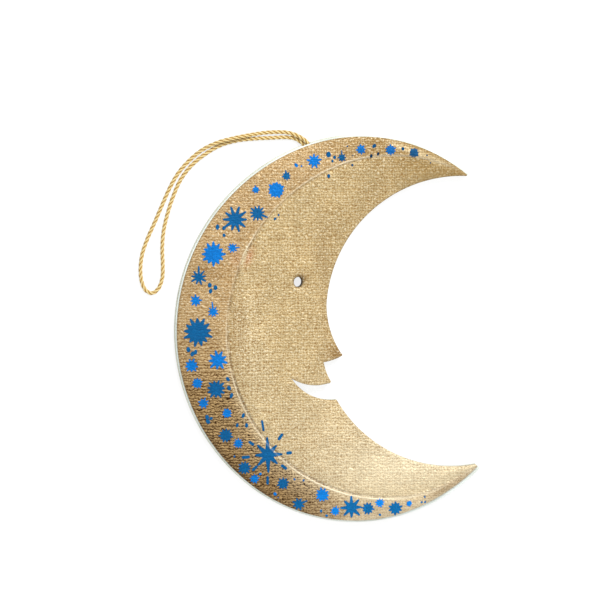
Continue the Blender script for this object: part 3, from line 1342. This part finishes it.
class MOON_OT_stage(bpy.types.Operator):
    """Floor, soft lights and the camera"""

    bl_idname = "moon.stage"
    bl_label = "Stage"

    def execute(self, context):
        """Makes the stage."""
        stage = context.scene.moon_stage
        context.scene.view_settings.view_transform = "Standard"
        aim = Vector((stage.aim_x, stage.aim_y, AIM_HEIGHT))
        self.add_camera(context, stage, aim)
        self.add_floor()
        for name, power, size, place in LAMPS:
            lamp = bpy.data.lights.new(name, "AREA")
            lamp.energy = getattr(stage, power)
            lamp.size = size
            light = add_object(name, lamp)
            light.location = aim + Vector(place)
            light.rotation_mode = "QUATERNION"
            light.rotation_quaternion = (aim - light.location).to_track_quat("-Z", "Y")
        world = bpy.data.worlds.new("studio")
        wiring = cleared(world)
        sky = wiring.output("ShaderNodeBackground", {"Color": (1, 1, 1, 1), "Strength": stage.fill})
        wiring.add("ShaderNodeOutputWorld", {"Surface": sky})
        context.scene.world = world
        return {"FINISHED"}

    def add_camera(self, context, stage, aim):
        """The camera, turned a little to the left and up from straight in front."""
        left, up = math.sin(stage.camera_side), math.sin(stage.camera_up)
        back = Vector((-left, up, math.sqrt(1 - left ** 2 - up ** 2)))
        across = Vector((0, 1, 0)).cross(back).normalized()
        turned = Matrix((across, back.cross(across), back)).transposed().to_4x4()
        camera = add_object("camera", bpy.data.cameras.new("camera"))
        camera.matrix_world = Matrix.Translation(aim + back * stage.camera_distance) @ turned
        camera.data.sensor_width = SENSOR_WIDTH
        camera.data.lens = SENSOR_WIDTH * stage.camera_distance / stage.view_width
        camera.data.clip_end = CLIP_END
        context.scene.camera = camera

    def add_floor(self):
        """A white floor that keeps the ornament's shadow. It glows only as the camera or a
        reflection sees it, and so casts no light."""
        corners = [(x * FLOOR_HALF, y * FLOOR_HALF, FLOOR_HEIGHT) for x, y in (
            (-1, -1), (1, -1), (1, 1), (-1, 1))]
        floor = add_mesh("floor", corners, [], [(0, 1, 2, 3)])
        material = bpy.data.materials.new("white_floor")
        wiring = cleared(material)
        path = wiring.add("ShaderNodeLightPath").outputs
        direct = wiring.math("MAXIMUM", path["Is Camera Ray"], path["Is Glossy Ray"])
        seen = wiring.math("MAXIMUM", direct, path["Is Transmission Ray"])
        paint = wiring.output("ShaderNodeBsdfDiffuse", {"Color": (*[FLOOR_GREY] * 3, 1)})
        glow = wiring.output("ShaderNodeEmission", {
            "Color": (1, 1, 1, 1), "Strength": wiring.times(seen, FLOOR_GLOW)})
        both = wiring.output("ShaderNodeAddShader", {0: paint, 1: glow})
        wiring.add("ShaderNodeOutputMaterial", {"Surface": both})
        floor.data.materials.append(material)


@node_group("Twisted Strands", "GeometryNodeTree", {
    "Geometry": "Geometry", "Strands": 3, "Lay": 0.0045, "Strand Radius": 0.00044,
    "Cord Radius": 0.000875, "Step": 0.00028, "Sides": 12, "Material": "Material",
}, ["Geometry"])
def strand_tree(wiring, source):
    """Geometry group that lays twisted strands along a line."""
    line = wiring.output("GeometryNodeMeshToCurve", {"Mesh": source["Geometry"]})
    even = wiring.output("GeometryNodeResampleCurve", {
        "Curve": line, "Length": source["Step"]}, mode="LENGTH")
    place = wiring.output("GeometryNodeInputPosition")
    spline = wiring.add("GeometryNodeSplineParameter").outputs
    kept = wiring.capture(even, middle=("VECTOR", place), length=("FLOAT", spline["Length"]))
    copies = wiring.add("GeometryNodeDuplicateElements", {
        "Geometry": kept["Geometry"], "Amount": source["Strands"]}, domain="SPLINE").outputs
    turn = wiring.less(
        wiring.math("DIVIDE", copies["Duplicate Index"], source["Strands"]),
        wiring.math("DIVIDE", kept["length"], source["Lay"]))
    radians = wiring.times(turn, 2 * math.pi)
    tangent = wiring.output("GeometryNodeInputTangent")
    side = wiring.vector("NORMALIZE", wiring.vector("CROSS_PRODUCT", tangent, (0.0, 0.0, 1.0)))
    above = wiring.vector("CROSS_PRODUCT", side, tangent)
    off_middle = wiring.less(source["Cord Radius"], source["Strand Radius"])
    offset = wiring.vector("ADD", *(
        wiring.output("ShaderNodeVectorMath", {
            0: way, "Scale": wiring.times(wiring.math(wave, radians), off_middle)}, operation="SCALE")
        for way, wave in ((side, "COSINE"), (above, "SINE"))))
    laid = wiring.output("GeometryNodeSetPosition", {"Geometry": copies["Geometry"], "Offset": offset})
    circle = wiring.output("GeometryNodeCurvePrimitiveCircle", {
        "Resolution": source["Sides"], "Radius": source["Strand Radius"]})
    rim = wiring.capture(circle, around=("FLOAT", spline["Factor"]))
    swept = wiring.output("GeometryNodeCurveToMesh", {
        "Curve": laid, "Profile Curve": rim["Geometry"], "Fill Caps": True})
    away = wiring.vector("DISTANCE", place, kept["middle"], key="Value")
    crown = wiring.math("DIVIDE", away, source["Cord Radius"])
    marked = wiring.mark(swept, "crown", crown, "FLOAT")
    marked = wiring.mark(marked, "yarn", wiring.join(kept["length"], rim["around"]), "FLOAT_VECTOR")
    smooth = wiring.output("GeometryNodeSetShadeSmooth", {"Geometry": marked, "Shade Smooth": True})
    return wiring.dressed(smooth, source["Material"])


def smooth_route(points, step):
    """Places along a smooth curve through points, a centripetal spline as the CAD tube has."""
    points = np.array(points, float)
    ends = np.vstack([2 * points[0] - points[1], points, 2 * points[-1] - points[-2]])
    route = []
    for p0, p1, p2, p3 in zip(ends, ends[1:], ends[2:], ends[3:]):
        t0, t1, t2 = (max(np.linalg.norm(b - a), 1e-9) ** 0.5 for a, b in ((p0, p1), (p1, p2), (p2, p3)))
        m1 = (p2 - p1) / t1 - (p2 - p0) / (t0 + t1) + (p1 - p0) / t0
        m2 = (p3 - p2) / t2 - (p3 - p1) / (t1 + t2) + (p2 - p1) / t1
        m1, m2 = m1 * t1, m2 * t1
        count = max(math.ceil(np.linalg.norm(p2 - p1) / step), 1)
        s = (np.arange(count) / count)[:, None]
        route.extend(
            (2 * s ** 3 - 3 * s ** 2 + 1) * p1 + (s ** 3 - 2 * s ** 2 + s) * m1
            + (3 * s ** 2 - 2 * s ** 3) * p2 + (s ** 3 - s ** 2) * m2)
    return np.array([*route, points[-1]])


def twisted(name, route, cord, material, node):
    """A twisted cord along a route, in place of a CAD tube."""
    piece = add_mesh(name, route.tolist(), [(i, i + 1) for i in range(len(route) - 1)], [])
    grown(piece, strand_tree(), {
        "Strands": cord.strands, "Lay": cord.lay, "Strand Radius": cord.strand_radius,
        "Cord Radius": CORD_DIAMETER / 2, "Material": material})
    settle(piece, node)
    return piece


def tail_heights():
    """Heights of the two tails in their slot, and how far apart they lie in plan."""
    boxes = (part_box("cord_tail_upper"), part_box("cord_tail_lower"))
    upper, lower = ((low.z + high.z) / 2 for low, high in boxes)
    pitch = CORD_DIAMETER + CORD_CLEARANCE
    return upper, lower, math.sqrt(max(pitch ** 2 - (upper - lower) ** 2, 0))


def in_slot(depth, side, height):
    """Point in the slot, by its depth from the mouth, how far it lies to the side and its height."""
    way = heading(SLOT_HEADING)
    place = BACK.point_at(SLOT_ANGLE) + way * depth + way * 1j * side
    return place.real, place.imag, height


class MOON_OT_cord(bpy.types.Operator):
    """Twisted hanging loop, its two glued tails and the glue"""

    bl_idname = "moon.cord"
    bl_label = "Cord"

    def execute(self, context):
        """Makes the cord's pieces."""
        cord = context.scene.moon_cord
        material = cord_material(cord)
        upper, lower, spread = tail_heights()
        ends = []
        for name, side, height in (
                ("tail_upper", spread / 2, upper), ("tail_lower", -spread / 2, lower)):
            outer, mouth, start, end = (in_slot(depth, side, height) for depth in (
                -CORD_DIAMETER, TAIL_INSET - CORD_GAP, TAIL_INSET, TAIL_INSET + TAIL_LENGTH))
            ends.append([mouth, outer])
            twisted(name, smooth_route([start, end], CORD_STEP), cord, material, "cord_" + name)
        middle = [tuple(part * MM for part in point) for point in CORD_ROUTE]
        route = smooth_route([*ends[0], *middle, *reversed(ends[1])], CORD_STEP)
        loop = twisted("twisted_loop", route, cord, material, "hanging_cord")
        glue = frame["nodes"]["cord_glue"].data.materials
        glue.clear()
        glue.append(paper_material("set_glue", GLUE_TINT, GLUE_FIBRE, 0.03))
        return {"FINISHED"}


def cut_slot(piece):
    """Cuts the cord's slot out of a board, from below up to its roof in the front board."""
    bottom, top = -MM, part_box("front_board")[1].z - SLOT_ROOF
    half = (tail_heights()[2] + CORD_DIAMETER + 2 * CORD_CLEARANCE) / 2
    plan = [(-2 * half, -half), (SLOT_LENGTH, -half), (SLOT_LENGTH, half), (-2 * half, half)]
    corners = [in_slot(depth, side, height) for height in (bottom, top) for depth, side in plan]
    tool = add_mesh("slot", corners, [], [
        (3, 2, 1, 0), (4, 5, 6, 7), (0, 1, 5, 4), (1, 2, 6, 5), (2, 3, 7, 6), (3, 0, 4, 7)])
    modifier = piece.modifiers.new("slot", "BOOLEAN")
    modifier.object = tool
    modifier.operation = "DIFFERENCE"
    modifier.solver = "EXACT"
    settled_mesh(piece)
    bpy.data.objects.remove(tool)


class MOON_OT_boards(bpy.types.Operator):
    """Lining paper, two boards and the pressed card"""

    bl_idname = "moon.boards"
    bl_label = "Boards"

    def execute(self, context):
        """Makes the stack under the cloth."""
        board = context.scene.moon_board
        for name, node, inset, tint, scale, slot in LAYERS:
            low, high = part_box(node)
            edge = min(board.edge_round, (high.z - low.z) / 4)
            loops = [layer_outline(inset, OUTLINE_STEP), eye_outline(0, HOLE_STEP)]
            rings = np.concatenate([inner_ring(loop, edge) for loop in loops])
            rim = sum(map(len, loops))
            piece, _ = layer_mesh(
                name, loops, rings, lambda places: high.z - at_rim(places, rim, edge),
                rings, lambda places: low.z + at_rim(places, rim, edge))
            if slot == "board":
                cut_slot(piece)
            self.finish(piece, name, getattr(board, tint), scale, node, slot)
        relief = Relief(context.scene.moon_cloth)
        loops = [layer_outline(CLOTH_INSET, OUTLINE_STEP), eye_outline(0, HOLE_STEP)]
        inner = lattice_inside(loops, CARD_PITCH, CARD_MARGIN)
        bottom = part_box("relief_card")[0].z
        card, _ = layer_mesh(
            "pressed_card", loops, inner, relief.sheet(CARD_TOP), np.array([], complex),
            lambda places: np.full(len(places), bottom))
        self.finish(card, "pressed_card", board.card, CARD_FIBRE, "relief_card", "card")
        return {"FINISHED"}

    def finish(self, piece, name, tint, scale, node, slot):
        """Gives a layer its paper and fixes it to the frame."""
        piece.data.materials.append(paper_material(name, tuple(tint), scale, 0.04))
        settle(piece, node)


@node_group("Raised Weave", "GeometryNodeTree", {
    "Geometry": "Geometry", "Thread Rise": 0.00024, "Slub": 0.9, "Material": "Material",
}, ["Geometry"])
def press_tree(wiring, source):
    """Geometry group that raises the weave out of a smooth sheet."""
    threads, rows = wiring.named("threads", "FLOAT_VECTOR"), wiring.named("rows")
    height = weave(wiring, threads, rows, source["Slub"])[0]
    lift = wiring.times(wiring.less(height, 1.0), source["Thread Rise"], wiring.named("raised"))
    moved = wiring.output("GeometryNodeSetPosition", {
        "Geometry": source["Geometry"], "Offset": wiring.join(0.0, 0.0, lift)})
    return wiring.dressed(moved, source["Material"])


class MOON_OT_cloth(bpy.types.Operator):
    """Gold linen cloth over the card"""

    bl_idname = "moon.cloth"
    bl_label = "Cloth"

    def execute(self, context):
        """Makes the cloth."""
        cloth = context.scene.moon_cloth
        relief, threads = Relief(cloth), Threads(cloth)
        loops = [
            layer_outline(CLOTH_INSET, CLOTH_STEP), eye_outline(CLOTH_HOLE_GROWTH, CLOTH_HOLE_STEP)]
        grid = threads.lattice(loops, CLOTH_MARGIN)
        grid = grid[abs(relief.past_crest(grid) - CREST_CLEARING_MIDDLE) > CREST_CLEARING]
        ridge = kept_inside(relief.crest_rows(CREST_STEP), loops, CLOTH_MARGIN)
        rings = np.concatenate([inner_ring(loop, CLOTH_RIM) for loop in loops])
        inner = np.concatenate([rings, grid, ridge])
        rim = sum(map(len, loops))
        crowns = relief.sheet(CLOTH_TOP)
        piece, places = layer_mesh(
            "gold_cloth", loops, inner, lambda places: crowns(places) - at_rim(places, rim, CLOTH_RIM_DROP),
            lattice_inside(loops, CLOTH_UNDER_PITCH, CLOTH_UNDER_MARGIN), relief.sheet(CLOTH_UNDER))
        mesh = piece.data
        threads.mark(mesh, places)
        raised = np.zeros(len(places))
        raised[:rim + len(inner)] = 1
        raised[:rim + len(rings)] = RING_RAISED
        raised[:rim] = RIM_RAISED
        places = plan_of(mesh)
        crest = relief.crest_mark(places)
        store(mesh, "raised", raised * (1 - CREST_FLATTEN * crest))
        store(mesh, "crest", crest)
        store(mesh, "patina", relief.patina(places))
        store(mesh, "calm", calm(places))
        store(mesh, "ground", ground_tint(cloth, relief, places), "FLOAT_COLOR")
        store(mesh, "rows", relief.rows(places))
        grown(piece, press_tree(), {
            "Thread Rise": cloth.thread_rise, "Material": cloth_material(cloth)})
        settle(piece, "front_cloth")
        return {"FINISHED"}


def on_cloth(corners):
    """Corners of a motif, pulled in where they would reach over the cloth's edge."""
    over = np.maximum(CLOTH_INSET + FOIL_MARGIN - BACK.depth_of(corners), 0)
    inward = (BACK_CENTRE - corners) / abs(BACK_CENTRE - corners)
    return corners + inward * over


def star_outline(star):
    """Corners of a foil star, whose rays have blunt tips and, but for the burst, a torn look."""
    angle_along, inset, reach, rays, root, long, turn = star
    centre = BACK.point_at(angle_along, inset * MM)
    torn = star != BURST
    every = rays if torn else 4
    corners = []
    for ray in range(rays):
        way = turn + 360 * ray / rays
        rhythm = ray + angle_along * torn
        stretch = long if ray % every == 0 else 1 + RAY_VARIATION * math.sin(RAY_RHYTHM * rhythm)
        if stretch < LONG_RAY:
            stretch -= RAY_CUT * torn
        tip = centre + heading(way) * reach * stretch * MM
        blunt = RAY_TIP / 2 * min(reach / BLUNT_REACH, 1)
        corners.extend(tip + heading(way + side) * blunt for side in (-90, 0, 90))
        fill_up = 1 + ROOT_FILL * torn * (1 + math.sin(ROOT_RHYTHM * rhythm))
        corners.append(centre + heading(way + 180 / rays) * reach * root * fill_up * MM)
    return on_cloth(np.array(corners))


def dash_outline(dash):
    """Round-ended outline of a foil dash beside the burst."""
    way, out, long, wide = dash
    centre = BACK.point_at(BURST[0], BURST[1] * MM) + heading(way) * out * MM
    half = (long - wide) / 2 * MM
    turns = np.linspace(-90, 90, 7)
    return np.concatenate([
        centre + heading(way + end) * half + heading(way + end + turns) * wide / 2 * MM
        for end in (0, 180)])


def even_outline(corners, step):
    """An outline's sides cut to even steps."""
    path = [corners[0]]
    for corner in [*corners[1:], corners[0]]:
        line_to(path, corner, step)
    return np.array(path[:-1])


class MOON_OT_foil(bpy.types.Operator):
    """Foil burst, its dashes and the stars"""

    bl_idname = "moon.foil"
    bl_label = "Foil Stars"

    def execute(self, context):
        """Makes each foil motif on the cloth."""
        cloth, foil = context.scene.moon_cloth, context.scene.moon_foil
        relief, threads = Relief(cloth), Threads(cloth)
        finishes = {
            "bright_foil": foil_material("pressed_bright_foil", foil.bright),
            "dark_foil": foil_material("pressed_dark_foil", foil.dark),
        }
        slots = {row["node"]: row["material_slot"] for row in frame["record"]["subparts"]}
        motifs = [("foil_burst", star_outline(BURST))]
        motifs += [(f"foil_ray_{i}", dash_outline(dash)) for i, dash in enumerate(DASHES, 1)]
        motifs += [(f"foil_star_{i:02d}", star_outline(star)) for i, star in enumerate(STARS, 1)]
        for node, corners in motifs:
            loops = [even_outline(corners, FOIL_STEP)]
            inner = threads.lattice(loops, FOIL_MARGIN)
            piece, places = layer_mesh(
                "pressed_" + node, loops, inner, relief.sheet(FOIL_MIDDLE + foil.thickness),
                inner, relief.sheet(FOIL_MIDDLE - foil.thickness))
            mesh = piece.data
            threads.mark(mesh, places)
            places = plan_of(mesh)
            store(mesh, "raised", np.full(len(places), FOIL_RAISED))
            store(mesh, "rows", relief.rows(places))
            store(mesh, "shade", foil_shade(places))
            store(mesh, "crest", relief.crest_mark(places))
            grown(piece, press_tree(), {
                "Thread Rise": cloth.thread_rise, "Material": finishes[slots[node]]})
            settle(piece, node)
        return {"FINISHED"}


@node_group("Foil Drops", "GeometryNodeTree", {
    "Geometry": "Geometry", "Thickness": 0.00012, "Material": "Material"}, ["Geometry"])
def speck_tree(wiring, source):
    """Geometry group that puts a flat drop of foil on each point."""
    drop = wiring.output("GeometryNodeMeshCone", {
        "Vertices": 14, "Radius Top": 0.42, "Radius Bottom": 0.5, "Depth": 1.0}, "Mesh")
    size = wiring.join(wiring.named("long"), wiring.named("wide"), source["Thickness"])
    placed = wiring.output("GeometryNodeInstanceOnPoints", {
        "Points": source["Geometry"], "Instance": drop,
        "Rotation": wiring.join(0.0, 0.0, wiring.named("turn")), "Scale": size})
    return wiring.dressed(placed, source["Material"])


class MOON_OT_specks(bpy.types.Operator):
    """Foil specks among the stars"""

    bl_idname = "moon.specks"
    bl_label = "Foil Specks"

    def execute(self, context):
        """Makes the specks as one piece."""
        cloth, foil = context.scene.moon_cloth, context.scene.moon_foil
        along, inset, long, wide, turn, shine = np.array(SPECKS).T
        places = np.array([BACK.point_at(*row) for row in zip(along, inset * MM)])
        heights = Relief(cloth).sheet(SPECK_MIDDLE)(places)
        corners = np.stack([places.real, places.imag, heights], axis=1).tolist()
        piece = add_mesh("foil_specks", corners, [], [])
        store(piece.data, "long", long * MM)
        store(piece.data, "wide", wide * MM)
        store(piece.data, "turn", np.radians(turn))
        store(piece.data, "shine", shine)
        foil_finish = foil_material("pressed_speck_foil", foil.dark, foil.bright)
        grown(piece, speck_tree(), {"Material": foil_finish})
        places = plan_of(piece.data)
        Threads(cloth).mark(piece.data, places)
        store(piece.data, "shade", foil_shade(places))
        settle(piece, None)
        return {"FINISHED"}


class MOON_PT_ornament(bpy.types.Panel):
    """Buttons for each piece of the ornament"""

    bl_idname = "MOON_PT_ornament"
    bl_label = "Moon Ornament"
    bl_space_type = "VIEW_3D"
    bl_region_type = "UI"
    bl_category = "Moon"

    def draw(self, context):
        """Lists the operators and their settings."""
        for name, group in SETTINGS.items():
            box = self.layout.box()
            box.label(text=name.replace("_", " ").title())
            for field in group.__annotations__:
                box.prop(getattr(context.scene, name), field)
        for operator in OPERATORS:
            self.layout.operator(operator.bl_idname)


SETTINGS = {
    "moon_stage": MoonStage,
    "moon_cord": MoonCord,
    "moon_board": MoonBoard,
    "moon_cloth": MoonCloth,
    "moon_foil": MoonFoil,
}
OPERATORS = [
    MOON_OT_stage, MOON_OT_cord, MOON_OT_boards, MOON_OT_cloth, MOON_OT_foil, MOON_OT_specks]
CLASSES = [*SETTINGS.values(), *OPERATORS, MOON_PT_ornament]


def register():
    """Makes the add-on's classes and settings known."""
    for cls in CLASSES:
        bpy.utils.register_class(cls)
    for name, group in SETTINGS.items():
        setattr(bpy.types.Scene, name, PointerProperty(type=group))


def unregister():
    """Takes the add-on's classes and settings away."""
    for name in SETTINGS:
        delattr(bpy.types.Scene, name)
    for cls in reversed(CLASSES):
        bpy.utils.unregister_class(cls)


def main():
    """Builds the whole ornament in order."""
    register()
    for operator in OPERATORS:
        group, name = operator.bl_idname.split(".")
        getattr(getattr(bpy.ops, group), name)()


if __name__ == "__main__":
    main()
